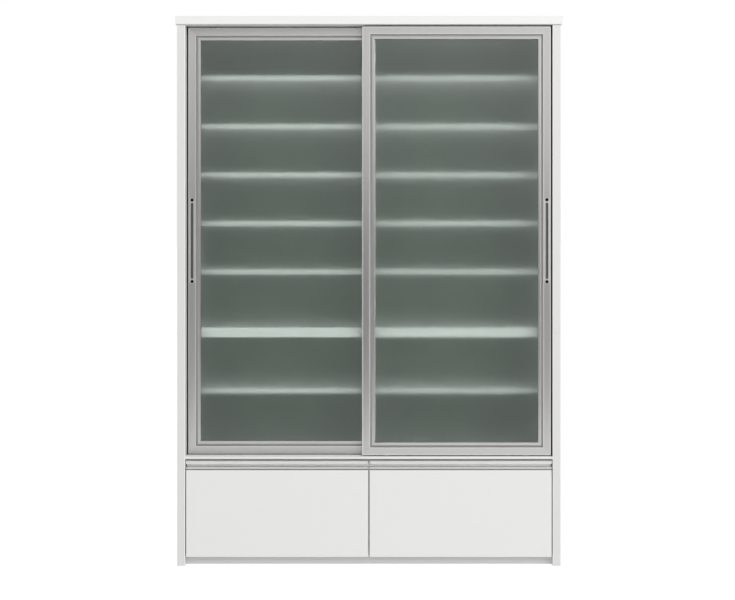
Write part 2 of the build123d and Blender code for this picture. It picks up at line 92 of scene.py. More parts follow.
def settle(piece, name):
    """Name a piece and bring its object to the origin, with its place in its mesh."""
    piece.name = piece.data.name = name
    only(piece)
    bpy.ops.object.transform_apply(location=True, rotation=True, scale=True)
    return piece


def block(name, low, high):
    """A block between two corners."""
    low, high = Vector(low), Vector(high)
    bpy.ops.object.select_all(action="DESELECT")
    bpy.ops.mesh.primitive_cube_add(size=1, location=(low + high) / 2)
    piece = bpy.context.object
    piece.scale = high - low
    return settle(piece, name)


# %% Picking, cutting and pushing
FACING = 0.9  # least share of a normal or direction along an axis that it faces
TILTED = 0.02  # least tilt of a face that belongs to a round
NEAR = 0.1 * MM  # how close to a plane counts as on it
ON_LINE = 0.05 * MM  # how close to a line counts as on it


def pick(piece, kind, test):
    """Enter edit mode with the faces or edges selected that pass the test.

    A face is tested by its centre and normal, an edge by its middle and direction.
    """
    only(piece)
    mesh = piece.data
    for group in (mesh.vertices, mesh.edges, mesh.polygons):
        group.foreach_set("select", [False] * len(group))
    if kind == "FACE":
        for face in mesh.polygons:
            face.select = test(face.center, face.normal)
    else:
        for edge in mesh.edges:
            a, b = (mesh.vertices[v].co for v in edge.vertices)
            edge.select = test((a + b) / 2, (b - a).normalized())
    bpy.context.tool_settings.mesh_select_mode = (False, kind == "EDGE", kind == "FACE")
    bpy.ops.object.mode_set(mode="EDIT")


def done():
    """Leave edit mode."""
    bpy.ops.object.mode_set(mode="OBJECT")


def cut(piece, point, normal, keep="BOTH"):
    """Cut a line round a piece where a plane meets it.

    keep is BOTH, or BEHIND to take away what is in front of the plane and close the piece there.
    """
    pick(piece, "FACE", lambda centre, direction: True)
    behind = keep == "BEHIND"
    bpy.ops.mesh.bisect(plane_co=point, plane_no=normal, use_fill=behind, clear_outer=behind)
    done()


def push(piece, test, step):
    """Extrude the faces that pass the test by a step."""
    pick(piece, "FACE", test)
    bpy.ops.mesh.extrude_region_move(TRANSFORM_OT_translate={"value": step})
    done()


def round_edges(piece, radius, segments, test=lambda middle, direction: True):
    """Round the edges that pass the test."""
    pick(piece, "EDGE", test)
    bpy.ops.mesh.bevel(offset=radius, segments=segments, affect="EDGES", clamp_overlap=True)
    done()


def long_edge(axis, **place):
    """A test for the edges along an axis that lie at two coordinates."""
    def test(middle, along):
        return abs(getattr(along, axis)) > FACING and all(
            abs(getattr(middle, key) - value) < ON_LINE for key, value in place.items())
    return test


# %% Finishing
def apply_modifier(piece, kind, **settings):
    """Add a modifier, set it and apply it."""
    only(piece)
    modifier = piece.modifiers.new(kind.lower(), kind)
    for key, value in settings.items():
        setattr(modifier, key, value)
    bpy.ops.object.modifier_apply(modifier=modifier.name)


def smooth(piece, degrees=40):
    """Shade round edges smoothly and leave flat faces flat."""
    only(piece)
    bpy.ops.object.shade_smooth_by_angle(angle=math.radians(degrees))
    apply_modifier(piece, "WEIGHTED_NORMAL", keep_sharp=True, weight=100)


def carve(piece, *tools):
    """Take tools away from a piece and delete them."""
    for tool in tools:
        apply_modifier(piece, "BOOLEAN", operation="DIFFERENCE", solver="EXACT", object=tool)
        bpy.data.objects.remove(tool)


def copy_of(piece, name, place):
    """A copy with its own mesh, moved and turned by a matrix."""
    twin = piece.copy()
    twin.data = piece.data.copy()
    bpy.context.scene.collection.objects.link(twin)
    twin.matrix_world = place @ piece.matrix_world
    return settle(twin, name)


def join(pieces, name):
    """Several objects as one piece."""
    only(pieces[0])
    for piece in pieces:
        piece.select_set(True)
    bpy.ops.object.join()
    pieces[0].name = pieces[0].data.name = name
    return pieces[0]


# %% Rounding a ready-made node
SOFT_RADIUS = 0.4 * MM
SHARP_ANGLE = math.radians(40)  # an edge that turns more than this gets rounded
FLAT_ANGLE = math.radians(0.5)  # faces that meet at less than this become one
WELD_DISTANCE = 0.01 * MM


def softened(node, radius=SOFT_RADIUS):
    """A merged copy of a ready-made node with its sharp edges rounded."""
    piece = frame["nodes"][node].copy()
    piece.data = piece.data.copy()
    piece.parent = None
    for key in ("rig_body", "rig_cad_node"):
        del piece[key]
    bpy.context.scene.collection.objects.link(piece)
    settle(piece, f"{node}_rounded")
    pick(piece, "FACE", lambda centre, direction: True)
    bpy.ops.mesh.remove_doubles(threshold=WELD_DISTANCE)
    bpy.ops.mesh.dissolve_limited(angle_limit=FLAT_ANGLE)
    done()
    apply_modifier(piece, "BEVEL", width=radius, segments=2, limit_method="ANGLE",
                   angle_limit=SHARP_ANGLE, use_clamp_overlap=True)
    smooth(piece)
    return piece


# %% Dressing a piece
def dress(piece, material, body="root", slot=None, stands_for=()):
    """Give a finished piece its material and its body, and hide the nodes that it stands for. The
    slot is not used.
    """
    piece.data.materials.clear()
    piece.data.materials.append(material)
    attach(piece, body)
    slot or material.name
    if stands_for:
        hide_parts(*stands_for)
    return piece


def also(piece, material, test):
    """Give the faces that pass the test, by centre and normal, a second material."""
    piece.data.materials.append(material)
    second = len(piece.data.materials) - 1
    for face in piece.data.polygons:
        if test(face.center, face.normal):
            face.material_index = second


# %% [markdown]
# ## Finishes
#
# Each finish is one Principled shader whose roughness, bump and slight changes of colour come
# from noise, in Object coordinates, so in metres. A noise scale of 1000 makes features of about
# a millimetre. Laminate is a matt white sheet with a faint orange peel. Anodised aluminium
# keeps the fine lines of its die, which run along each length, so the noise is stretched along
# it: one material is for upright lengths and one for level ones. The upright one is also a
# little darker, which paints shade on the stiles.
#
# The real cabinet has one white laminate and one anodised finish. A plain studio gives narrow
# places less to catch than a furnished room does, so the other tones here paint light and shade
# into the colour. Painted highlights: the rounded edges of side panels and drawer fronts, the
# frame's outer edges and beads, the pull plates. Painted light: the top board, the boards at the
# seam of the units, the handles and their finger spaces. Painted shade: the side panels' front
# faces, the track and kick boards, the frame's shadow grooves, the pull slots, the handles'
# joints and the inside of the backs.


# %% Material helper
TONE_SPAN, SHINE_SPAN = 25, 5  # how many grains wide the changes of tone and of shine are


def finish(name, colour, roughness, grain, grain_depth=0.02, tone=0.03, spread=0.05,
           stretch=(1, 1, 1), **sockets):
    """A Principled material with noise in its tone, roughness and bump.

    grain is the noise scale of the surface, grain_depth its height in mm, tone and spread the
    share by which the colour and the roughness change, and stretch pulls the grain out.
    """
    material = bpy.data.materials.new(name)
    material.use_nodes = True
    nodes, links = material.node_tree.nodes, material.node_tree.links
    shader = nodes["Principled BSDF"]
    for socket, value in sockets.items():
        shader.inputs[socket.replace("_", " ").title().replace("Ior", "IOR")].default_value = value
    where = nodes.new("ShaderNodeTexCoord")
    mapping = nodes.new("ShaderNodeMapping")
    mapping.inputs["Scale"].default_value = stretch
    links.new(where.outputs["Object"], mapping.inputs["Vector"])

    def noise(scale, detail):
        node = nodes.new("ShaderNodeTexNoise")
        node.inputs["Scale"].default_value = scale
        node.inputs["Detail"].default_value = detail
        links.new(mapping.outputs["Vector"], node.inputs["Vector"])
        return node.outputs["Fac"]

    tint = nodes.new("ShaderNodeMix")
    tint.data_type = "RGBA"
    tint.inputs["A"].default_value = (*[c * (1 - tone) for c in colour], 1)
    tint.inputs["B"].default_value = (*[min(c * (1 + tone), 1) for c in colour], 1)
    links.new(noise(grain / TONE_SPAN, detail=3), tint.inputs["Factor"])
    links.new(tint.outputs["Result"], shader.inputs["Base Color"])

    shine = nodes.new("ShaderNodeMapRange")
    shine.inputs["To Min"].default_value = roughness * (1 - spread)
    shine.inputs["To Max"].default_value = roughness * (1 + spread)
    links.new(noise(grain / SHINE_SPAN, detail=4), shine.inputs["Value"])
    links.new(shine.outputs["Result"], shader.inputs["Roughness"])

    bump = nodes.new("ShaderNodeBump")
    bump.inputs["Distance"].default_value = grain_depth * MM
    links.new(noise(grain, detail=2), bump.inputs["Height"])
    links.new(bump.outputs["Normal"], shader.inputs["Normal"])
    return material


# %% The finishes
DIE_LINES = 0.004  # share of the noise scale that is left along a drawn length
UPRIGHT, LEVEL = (1, 1, DIE_LINES), (DIE_LINES, 1, 1)


def white_sheet(suffix, colour, roughness=0.42, tone=0.006):
    """A shade of the white laminate."""
    return finish(f"white_laminate{suffix}", colour, roughness, grain=700, tone=tone)


def aluminium(suffix, colour, roughness, stretch=(1, 1, 1)):
    """A shade of the anodised aluminium."""
    return finish(f"satin_aluminium{suffix}", colour, roughness, grain=1500, tone=0.02,
                  stretch=stretch, metallic=1)


laminate = white_sheet("", (0.81, 0.81, 0.805))
# a lighter white: painted light on the top board and the seam boards, and a painted highlight on
# the drawer fronts' rounds
painted_light_laminate = white_sheet("_top", (0.84, 0.84, 0.835))
# a darker white: painted shade on the side panels' front faces and on the track and kick boards
painted_shade_laminate = white_sheet("_painted_shade", (0.73, 0.73, 0.72))
# a lighter, glossier white: painted highlight on the rounded front edges of the side panels
painted_highlight_round = white_sheet("_round", (0.93, 0.93, 0.925), roughness=0.25, tone=0.004)
# dark grey-green on the backs' inner faces: a painted shade for the dim inside of the cabinet
painted_shade_back = finish("back_painted_shade", (0.205, 0.257, 0.21), 0.55, grain=500, tone=0.01)
foil = finish("white_board", (0.78, 0.78, 0.77), 0.55, grain=500, tone=0.01)
white_plastic = finish("white_plastic", (0.80, 0.80, 0.79), 0.4, grain=900, tone=0.01)
# the uprights a little darker than the level lengths: painted shade on the stiles
aluminium_upright = aluminium("", (0.56, 0.555, 0.545), 0.33, UPRIGHT)
aluminium_level = aluminium("_level", (0.58, 0.575, 0.565), 0.5, LEVEL)
# a lighter tone: painted light on the handles
painted_light_handle_metal = aluminium("_handle", (0.72, 0.72, 0.71), 0.4, LEVEL)
# a lighter tone: painted highlight on the frame's outer edges and beads and on the pull plates
painted_highlight_metal = aluminium("_edge", (0.70, 0.695, 0.685), 0.4)
# a darker tone: painted shade in the frame's shadow grooves
painted_shade_reveal_metal = aluminium("_reveal", (0.50, 0.50, 0.49), 0.6)
# a much lighter tone: painted light in the handles' finger spaces
painted_light_finger_metal = aluminium("_finger", (0.88, 0.88, 0.87), 0.6)
# a darker tone: painted shade in the handles' joints
painted_shade_joint_metal = aluminium("_joint", (0.40, 0.40, 0.395), 0.6)
# a dark tone: painted shade inside the pull slots
painted_shade_slot_metal = aluminium("_slot", (0.22, 0.22, 0.215), 0.6)
glass_finish = finish("frosted_glass", (0.885, 0.945, 0.905), 0.33, grain=2500, grain_depth=0.01,
                      tone=0.01, transmission_weight=1, ior=1.5, specular_ior_level=0.2)
rubber = finish("dark_gasket", (0.03, 0.03, 0.03), 0.7, grain=1200)
black_plastic = finish("black_plastic", (0.006, 0.006, 0.006), 0.6, grain=1200,
                       specular_ior_level=0.15)
grey_guide = finish("black_plastic_guide", (0.25, 0.25, 0.245), 0.5, grain=1200)
# near-black pile, whose colour also paints the shade in the gaps beside the doors
pile_and_gap_shade = finish("dark_strip", (0.035, 0.035, 0.034), 0.85, grain=3000, grain_depth=0.15)
nylon = finish("nylon", (0.72, 0.71, 0.67), 0.35, grain=900)
grey_plastic = finish("grey_plastic", (0.2, 0.2, 0.2), 0.5, grain=900)
steel = finish("steel", (0.55, 0.56, 0.56), 0.35, grain=250, tone=0.08, spread=0.2, metallic=1)
cast = finish("cast_key", (0.45, 0.45, 0.45), 0.6, grain=600, grain_depth=0.1, metallic=1)
by_slot = {m.name: m for m in (laminate, foil, white_plastic, aluminium_upright, glass_finish,
                               rubber, black_plastic, pile_and_gap_shade, nylon, grey_plastic, steel, cast)}
print("finishes:", len(bpy.data.materials), "for", len(by_slot), "slots")

# %% [markdown]
# ## The ready-made nodes
#
# Every node first gets the finish of the material slot that the frame's record names for it.
# The ones that stay hidden, such as the corner keys inside the mitres, keep this, and so do the
# drawer boxes. The cells after this one replace most of the others with modelled pieces.

# %% Finish every node
LEVEL_LENGTHS = ("rail", "handle")
for part in frame["record"]["subparts"]:
    node, slot_name = part["node"], part["material_slot"]
    level = slot_name == "satin_aluminium" and any(word in node for word in LEVEL_LENGTHS)
    mesh = frame["nodes"][node].data
    mesh.materials.clear()
    mesh.materials.append(aluminium_level if level else by_slot[slot_name])

# %% [markdown]
# ## Panels and shelves
#
# A laminate panel is chipboard between two white sheets, with a plastic band glued round its
# edges. The band is rounded where hands reach it, and that thin round is what separates the
# panels to the eye. The round gets a lighter, glossier white, a painted highlight, and the front
# face a darker white, a painted shade. A panel is a block whose front edges get a larger radius
# than the others.
# On its inner face it has a groove for the thin back and two rows of holes for the shelf pins.
# These are carved with a boolean modifier, because a hole has to be a real hole when a door
# stands open. A divider comes with the holes that hold pins, and gets the free ones between
# them on both faces. The thin backs are dark grey-green inside, a painted shade for the dim
# inside of the cabinet, and white foil outside.

# %% Board helper
BAND_RADIUS = 2 * MM
BAND_SEGMENTS = 3


def board(name, low, high, front_radius):
    """A panel with rounded front edges and slightly softened back edges."""
    piece = block(name, low, high)
    front, back = low[1], high[1]
    round_edges(piece, SOFT_RADIUS, 1, lambda middle, along: middle.y > back - MM)
    round_edges(piece, front_radius, BAND_SEGMENTS,
                lambda middle, along: middle.y < front + NEAR)
    return piece


# %% Holes for the pins
PIN_STEP = 30 * MM
PIN_DRILL = 5 * MM
PIN_DEPTH = 8 * MM
PIN_INSET = 4 * MM  # from the ends of the pins' box to their axes
PIN_DROP = PIN_DRILL / 2  # from a shelf's underside to the axes of its pins
DRILL_SIDES = 12
END_STEPS = 3  # steps without holes beside the boards above and below
pin_low, pin_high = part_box("shelf_pins")
PIN_ROWS = (pin_low.y + PIN_INSET, pin_high.y - PIN_INSET)


def drill_rows(piece, face_x, heights):
    """Drill both rows of pin holes into the upright face at face_x."""
    bpy.ops.object.select_all(action="DESELECT")
    bpy.ops.mesh.primitive_cylinder_add(vertices=DRILL_SIDES, radius=PIN_DRILL / 2,
                                        depth=2 * PIN_DEPTH, rotation=(0, math.pi / 2, 0))
    drill = settle(bpy.context.object, "drill")
    drills = [copy_of(drill, "drill", Matrix.Translation((face_x, y, z)))
              for y in PIN_ROWS for z in heights]
    bpy.data.objects.remove(drill)
    carve(piece, join(drills, "drills"))


def hole_heights(low, high, through):
    """Heights of the holes between two boards, on a grid that has a hole at through."""
    first = math.ceil((low + END_STEPS * PIN_STEP - through) / PIN_STEP)
    last = math.floor((high - END_STEPS * PIN_STEP - through) / PIN_STEP)
    return [through + n * PIN_STEP for n in range(first, last + 1)]


shelf_low, shelf_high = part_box("upper_shelves")
low_shelf, low_shelf_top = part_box("lower_shelves")
upper_holes = hole_heights(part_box("upper_bottom_panel")[1].z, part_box("top_board")[0].z,
                           shelf_low.z - PIN_DROP)
lower_holes = hole_heights(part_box("track_board")[1].z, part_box("lower_top_panel")[0].z,
                           low_shelf.z - PIN_DROP)
print("pin holes in a row:", len(upper_holes), "above,", len(lower_holes), "below")

# %% Side panels
GROOVE_DEPTH = 6 * MM
groove_low, groove_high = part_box("upper_back_panels")
for unit, holes in (("upper", upper_holes), ("lower", lower_holes)):
    for word, side in (("left", -1), ("right", 1)):
        node = f"{unit}_{word}_side"
        low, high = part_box(node)
        panel = board(f"{node}_panel", low, high, BAND_RADIUS)
        inner_x = low.x if side > 0 else high.x
        carve(panel, block("groove", (inner_x - GROOVE_DEPTH, groove_low.y, low.z - MM),
                           (inner_x + GROOVE_DEPTH, groove_high.y, high.z + MM)))
        drill_rows(panel, inner_x, holes)
        smooth(panel)
        dress(panel, laminate, stands_for=[node])
        # painted shade on the front face, and a painted highlight on the inner round of the front
        # edge
        also(panel, painted_shade_laminate, lambda centre, normal: normal.y < -FACING)
        also(panel, painted_highlight_round, lambda centre, normal: low.y < centre.y < low.y + BAND_RADIUS
             and low.z + MM < centre.z < high.z - MM and abs(normal.x) > TILTED)
        print(f"{node}: {(high.z - low.z) / MM:.0f} mm high")

# %% Top board
DOORS = {"front_door": 1, "rear_door": -1}  # and the side that each one's outer stile is on
TOP_RADIUS = 1.2 * MM
FLANGE_DEPTH = 2 * MM
CHANNEL_WIDTH = 16 * MM


def wheel_place(door, wheel):
    """The x and y of a wheel's middle."""
    low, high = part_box(f"{door}_{wheel}_wheel")
    return (low.x + high.x) / 2, (low.y + high.y) / 2


low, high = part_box("top_board")
top = board("top_board_panel", low, high, TOP_RADIUS)
track_low, track_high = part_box("top_track")
carve(top, block("flange", (track_low.x, track_low.y, low.z - MM),
                 (track_high.x, track_high.y, low.z + FLANGE_DEPTH)))
for door in DOORS:
    line = wheel_place(door, "left")[1]
    carve(top, block("channel", (track_low.x, line - CHANNEL_WIDTH / 2, low.z - MM),
                     (track_high.x, line + CHANNEL_WIDTH / 2, track_high.z)))
carve(top, block("groove", (groove_low.x, groove_low.y, low.z - MM),
                 (groove_high.x, groove_high.y, low.z + GROOVE_DEPTH)))
smooth(top)
# a lighter white: painted light on the top board
dress(top, painted_light_laminate, stands_for=["top_board"], slot="white_laminate")
print(f"top board: {(high.x - low.x) / MM:.0f} mm wide")

# %% Shelves
SHELF_STEP = 180 * MM
SHELF_RADIUS = 1.5 * MM
HALF_GAP = 10 * MM  # half of the gap that the divider stands in
shelf_thickness = low_shelf_top.z - low_shelf.z


def shelf(name, side, level):
    """One shelf of the bay on that side, with its underside at level."""
    x = sorted((side * HALF_GAP, side * shelf_high.x))
    piece = board(name, (x[0], shelf_low.y, level), (x[1], shelf_high.y, level + shelf_thickness),
                  SHELF_RADIUS)
    smooth(piece)
    return dress(piece, laminate)


shelf_count = round((shelf_high.z - shelf_thickness - shelf_low.z) / SHELF_STEP) + 1
for word, side in (("left", -1), ("right", 1)):
    for n in range(shelf_count):
        piece = shelf(f"upper_{word}_shelf_{n + 1}", side, shelf_low.z + n * SHELF_STEP)
        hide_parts("upper_shelves")
    piece = shelf(f"lower_{word}_shelf", side, low_shelf.z)
    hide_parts("lower_shelves")
print("shelves in a bay:", shelf_count, "above, 1 below")

# %% Dividers
def free_holes(heights, first_shelf, count):
    """The hole heights that no pin uses, under count shelves from first_shelf upwards."""
    used = [first_shelf - PIN_DROP + n * SHELF_STEP for n in range(count)]
    return [z for z in heights if min(abs(z - pin) for pin in used) > MM]


for node, heights in (("upper_divider", free_holes(upper_holes, shelf_low.z, shelf_count)),
                      ("lower_dividers", free_holes(lower_holes, low_shelf.z, 1))):
    piece = softened(node)
    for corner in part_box(node):
        drill_rows(piece, corner.x, heights)
    smooth(piece)
    dress(piece, laminate, stands_for=[node])
    print(node, "free pin holes in a row:", len(heights))

# %% The other boards
# lighter white on the seam boards is painted light, darker white on the track and kick boards
# painted shade, dark grey-green inside the backs painted shade
SHADES = {"upper_bottom_panel": painted_light_laminate, "lower_top_panel": painted_light_laminate,
          "track_board": painted_shade_laminate, "bottom_panel": laminate, "kick_board": painted_shade_laminate,
          "upper_back_panels": painted_shade_back, "lower_back_panels": painted_shade_back}
for node, material in SHADES.items():
    slot_name = "white_board" if material is painted_shade_back else "white_laminate"
    piece = dress(softened(node), material, slot=slot_name, stands_for=[node])
    if material is painted_shade_back:
        also(piece, foil, lambda centre, normal: normal.y > FACING)
print("other boards:", len(SHADES), "nodes")

# %% [markdown]
# ## Tracks and jamb strips
#
# The upper track is a white plastic section with two channels, let into the top board. The
# lower one has two narrow grooves for the wheels. Dark strips with a row of pile stand beside
# the doors and keep dust out, and their near-black also paints the shade in those narrow gaps.
# Their sections are already right, so a merged copy of each node only gets its edges rounded by
# a bevel modifier. The guides on top of the doors, which run in the upper track, are done in
# the same way.

# %% Tracks and strips
THIN_RADIUS = 0.3 * MM
for node, material in (("top_track", white_plastic), ("bottom_track", white_plastic),
                       ("jamb_strips", pile_and_gap_shade), ("floor_glides", grey_plastic)):
    dress(softened(node, THIN_RADIUS), material, stands_for=[node])
for door in DOORS:
    node = f"{door}_top_guides"
    dress(softened(node, THIN_RADIUS), grey_guide, door, "black_plastic", [node])
print(f"tracks: {(track_high.x - track_low.x) / MM:.0f} mm long")

# %% [markdown]
# ## Door frames
#
# All eight lengths of the two frames are cut from one aluminium extrusion: a flat face with a
# rounded outer edge and a bead along its inner edge, a shadow groove, and a lip that holds the
# glass. To build such a section by hand, start with its plain middle and push faces outwards
# from there. Every step then adds metal, and no step leaves a thin fin behind, as pushing a
# face inwards at the border of a block would.

# %% The extrusion
FACE_WIDTH = 29 * MM
BEAD_WIDTH = 3.5 * MM
BEAD_RISE = 0.8 * MM
REVEAL_WIDTH = 7.5 * MM
REVEAL_DEPTH = 8 * MM
LIP_WIDTH = 9.5 * MM
LIP_SETBACK = 2 * MM
POCKET_FRONT = 6 * MM
POCKET_BACK = 12 * MM
POCKET_WALL = 2 * MM
LIP_BACK = 14 * MM
THICKNESS = 22 * MM
EDGE_RADIUS = 2 * MM
BACK_RADIUS = 1 * MM
BEAD_RADIUS = 0.75 * MM
LIP_RADIUS = 0.8 * MM
EDGE_BAND = 4.5 * MM
MITRE_GAP = 0.08 * MM
SPARE = 20 * MM  # extra length at both ends, which the last cuts take off
CURVE_ANGLE = 35  # degrees between faces of one curve, at most
LIP_START = FACE_WIDTH + REVEAL_WIDTH
FRAME_WIDTH = LIP_START + LIP_WIDTH


def frame_length(name, length):
    """A mitred length of the frame, along Z, with x from the outer edge to the glass."""
    end = length / 2 + SPARE
    piece = block(name, (0, REVEAL_DEPTH, -end), (LIP_START, THICKNESS, end))

    def at_front(a, b):
        return lambda centre, normal: normal.y < -FACING and a < centre.x < b

    def at_glass(a, b):
        return lambda centre, normal: normal.x > FACING and a < centre.y < b

    cut(piece, (FACE_WIDTH, 0, 0), (1, 0, 0))
    push(piece, at_front(0, FACE_WIDTH), (0, -REVEAL_DEPTH, 0))
    cut(piece, (FACE_WIDTH - BEAD_WIDTH, 0, 0), (1, 0, 0))
    push(piece, at_front(FACE_WIDTH - BEAD_WIDTH, FACE_WIDTH), (0, -BEAD_RISE, 0))
    cut(piece, (EDGE_BAND, 0, 0), (1, 0, 0))
    for line in (POCKET_BACK, LIP_BACK):
        cut(piece, (0, line, 0), (0, 1, 0))
    push(piece, lambda centre, normal: at_glass(REVEAL_DEPTH, LIP_BACK)(centre, normal)
         and centre.x > FACE_WIDTH + MM, (POCKET_WALL, 0, 0))
    for start, end_y in ((REVEAL_DEPTH, POCKET_FRONT), (POCKET_FRONT, LIP_SETBACK)):
        push(piece, at_front(LIP_START, FRAME_WIDTH), (0, end_y - start, 0))
    rim = LIP_WIDTH - POCKET_WALL
    push(piece, lambda centre, normal: centre.x > LIP_START and (
        at_glass(LIP_SETBACK, POCKET_FRONT)(centre, normal)
        or at_glass(POCKET_BACK, LIP_BACK)(centre, normal)), (rim, 0, 0))

    round_edges(piece, EDGE_RADIUS, 5, long_edge("z", x=0, y=0))
    round_edges(piece, BACK_RADIUS, 2, long_edge("z", x=0, y=THICKNESS))
    for x in (FACE_WIDTH - BEAD_WIDTH, FACE_WIDTH):
        round_edges(piece, BEAD_RADIUS, 3, long_edge("z", x=x, y=-BEAD_RISE))
    for x in (FRAME_WIDTH, LIP_START):
        round_edges(piece, LIP_RADIUS, 2, long_edge("z", x=x, y=LIP_SETBACK))
    for side in (-1, 1):
        cut(piece, (0, 0, side * (length / 2 - MITRE_GAP)), (1, 0, side), keep="BEHIND")
    smooth(piece, CURVE_ANGLE)
    return piece


# %% Openings in the lengths
MOUTH_LENGTH, MOUTH_WIDTH = 290 * MM, 14 * MM  # for a pull
WELL_LENGTH, WELL_WIDTH = 54 * MM, 16 * MM  # for a roller
GUIDE_LENGTH, GUIDE_WIDTH, GUIDE_DEPTH = 30 * MM, 8 * MM, 10 * MM  # for a guide
AHEAD = 2 * MM  # how far in front of the face a cut starts


def limits_round(x, y, length, width):
    """The lower and upper limits, along x and y, of a block round an upright line."""
    return (x - length / 2, y - width / 2), (x + length / 2, y + width / 2)


def cut_openings(piece, door, word, low, high):
    """Cut the mouth for the pull, the wells for the rollers or the slots for the guides."""
    if word == "outer_stile":
        pull_low, pull_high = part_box(f"{door}_pull")
        centre = (pull_low + pull_high) / 2
        half_width, half_length = MOUTH_WIDTH / 2, MOUTH_LENGTH / 2
        carve(piece, block("mouth",
                           (centre.x - half_width, low.y - AHEAD, centre.z - half_length),
                           (centre.x + half_width, pull_high.y, centre.z + half_length)))
    for wheel in ("left", "right"):
        if word == "bottom_rail":
            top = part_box(f"{door}_roller_housings")[1].z
            start, end = limits_round(*wheel_place(door, wheel), WELL_LENGTH, WELL_WIDTH)
            carve(piece, block("well", (*start, low.z - MM), (*end, top)))
        if word == "top_rail":
            start, end = limits_round(*wheel_place(door, wheel), GUIDE_LENGTH, GUIDE_WIDTH)
            carve(piece, block("slot", (*start, high.z - GUIDE_DEPTH), (*end, high.z + MM)))


# %% Placing a length
def frame_place(origin, to_glass):
    """The matrix that puts a length at an outer front edge, with its glass side to_glass."""
    to_glass = Vector(to_glass)
    to_back = Vector((0, 1, 0))
    turn = Matrix((to_glass, to_back, to_glass.cross(to_back))).transposed().to_4x4()
    return Matrix.Translation(origin) @ turn


def across(origin, to_glass, a, b):
    """A test for a place between two distances from a length's outer edge."""
    origin, to_glass = Vector(origin), Vector(to_glass)
    return lambda centre: a - NEAR < to_glass.dot(centre - origin) < b + NEAR


def door_box(door):
    """The corners of a door's frame, with y at its face."""
    low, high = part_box(f"{door}_bottom_rail")
    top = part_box(f"{door}_top_rail")[1].z
    return Vector((low.x, high.y - THICKNESS, low.z)), Vector((high.x, high.y, top))


# %% The eight lengths
stile_low, stile_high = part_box("front_door_outer_stile")
rail_low, rail_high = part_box("front_door_top_rail")
stile_pattern = frame_length("stile_pattern", stile_high.z - stile_low.z)
rail_pattern = frame_length("rail_pattern", rail_high.x - rail_low.x)
for door, outward in DOORS.items():
    low, high = door_box(door)
    middle_x, middle_z = (low.x + high.x) / 2, (low.z + high.z) / 2
    outer_x, inner_x = (high.x, low.x) if outward > 0 else (low.x, high.x)
    lengths = (("outer_stile", stile_pattern, (outer_x, low.y, middle_z), (-outward, 0, 0)),
               ("inner_stile", stile_pattern, (inner_x, low.y, middle_z), (outward, 0, 0)),
               ("bottom_rail", rail_pattern, (middle_x, low.y, low.z), (0, 0, 1)),
               ("top_rail", rail_pattern, (middle_x, low.y, high.z), (0, 0, -1)))
    for word, pattern, origin, to_glass in lengths:
        piece = copy_of(pattern, f"{door}_{word}_metal", frame_place(origin, to_glass))
        cut_openings(piece, door, word, low, high)
        metal = aluminium_upright if word.endswith("stile") else aluminium_level
        dress(piece, metal, door, "satin_aluminium", [f"{door}_{word}"])
        # painted shade in the shadow groove, and a painted highlight on the outer edge and the
        # bead
        reveal_shade_mask = across(origin, to_glass, FACE_WIDTH, LIP_START)
        rim = across(origin, to_glass, 0, EDGE_BAND)
        bead = across(origin, to_glass, FACE_WIDTH - BEAD_WIDTH, FACE_WIDTH)
        also(piece, painted_shade_reveal_metal,
             lambda centre, normal: centre.y > low.y + LIP_SETBACK and reveal_shade_mask(centre))
        also(piece, painted_highlight_metal, lambda centre, normal: centre.y < low.y + EDGE_RADIUS
             and normal.y < -TILTED and (rim(centre) or bead(centre)))
    print(f"{door}: {(high.x - low.x) / MM:.0f} by {(high.z - low.z) / MM:.0f} mm")
for pattern in (stile_pattern, rail_pattern):
    bpy.data.objects.remove(pattern)

# %% [markdown]
# ## Glass
#
# The panes are acid-etched: clear in their body, but with a surface that scatters what is
# behind. A shelf edge near the glass shows as a soft band, and the back of the cabinet is only
# a tone. Real thickness matters here, because the light bends at both faces, so a pane is a
# closed block with slightly ground edges.

# %% Panes and gaskets
PANE_RADIUS = 0.5 * MM
GASKET_RADIUS = 0.2 * MM
for door in DOORS:
    low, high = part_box(f"{door}_glass")
    pane = block(f"{door}_pane", low, high)
    round_edges(pane, PANE_RADIUS, 1)
    dress(pane, glass_finish, door, stands_for=[f"{door}_glass"])
    node = f"{door}_gasket"
    dress(softened(node, GASKET_RADIUS), rubber, door, stands_for=[node])
    print(f"{door} pane: {(high.y - low.y) / MM:.0f} mm thick")

# %% [markdown]
# ## Pulls
#
# A door that slides behind another can't carry a knob, so each outer stile has a flush pull: a
# long plate with round ends, a deep slot for the fingertips and a black plug over each screw.
# The plate and the slot are blocks whose four upright corners are rounded almost to a
# semicircle. The plate takes the lighter edge tone, a painted highlight, and the inside of the
# slot a much darker one, a painted shade.

# %% Bars with round ends
NEARLY_HALF = 0.499  # of the width, so that the two corners of an end don't meet


def rounded_bar(name, centre, width, length, front, back):
    """An upright bar with round ends, between two planes of y."""
    bar = block(name, (centre.x - width / 2, front, centre.z - length / 2),
                (centre.x + width / 2, back, centre.z + length / 2))
    round_edges(bar, NEARLY_HALF * width, 10, lambda middle, along: abs(along.y) > FACING)
    return bar


# %% Plugs
PLUG_SPACING, PLUG_RADIUS, PLUG_RISE = 297 * MM, 6 * MM, 1 * MM
PLUG_ROUND = 0.45 * MM
DISH_RIM, DISH_SLOPE, DISH_DEPTH = 2 * MM, 0.5 * MM, 0.3 * MM


